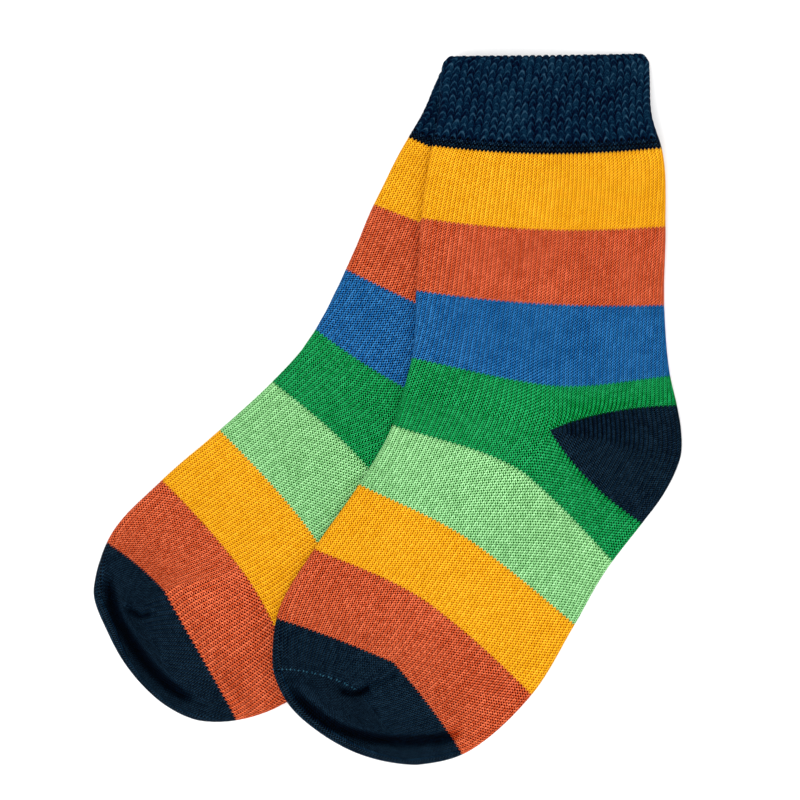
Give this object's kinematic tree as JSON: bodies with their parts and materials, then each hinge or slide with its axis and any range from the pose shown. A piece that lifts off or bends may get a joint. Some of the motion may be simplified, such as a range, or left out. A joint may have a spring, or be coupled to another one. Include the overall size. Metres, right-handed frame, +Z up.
{
  "type": "pair of striped ankle socks",
  "caption": "A child's striped knitted socks laid flat, one partly on the other, with ribbed cuffs, heel pockets and toe pockets in a dark yarn.",
  "frame": {"origin": "the middle of the pair's outline, on the surface that it lies on", "axes": "+Z up from the surface; +Y along the front sock's leg, towards the cuffs; +X towards the front sock's heel"},
  "size_m": [0.1761, 0.2128, 0.0115],
  "materials": {
    "navy_yarn": "knitted combed cotton, ribbed at the cuff, plain at heel and toe, matt",
    "yellow_yarn": "plain knitted combed cotton, matt with a soft nap",
    "rust_yarn": "plain knitted combed cotton, matt with a soft nap",
    "blue_yarn": "plain knitted combed cotton, matt with a soft nap",
    "green_yarn": "plain knitted combed cotton, matt with a soft nap",
    "mint_yarn": "plain knitted combed cotton, matt with a soft nap"
  },
  "bodies": {
    "root": {"front_cuff": "navy_yarn", "front_leg_yellow": "yellow_yarn", "front_leg_rust": "rust_yarn", "front_leg_blue": "blue_yarn", "front_ankle_green": "green_yarn", "front_heel": "navy_yarn", "front_foot_mint": "mint_yarn", "front_foot_yellow": "yellow_yarn", "front_foot_rust": "rust_yarn", "front_toe": "navy_yarn", "back_cuff": "navy_yarn", "back_leg_yellow": "yellow_yarn", "back_leg_rust": "rust_yarn", "back_leg_blue": "blue_yarn", "back_ankle_green": "green_yarn", "back_heel": "navy_yarn", "back_foot_mint": "mint_yarn", "back_foot_yellow": "yellow_yarn", "back_foot_rust": "rust_yarn", "back_toe": "navy_yarn"}
  },
  "joints": []
}
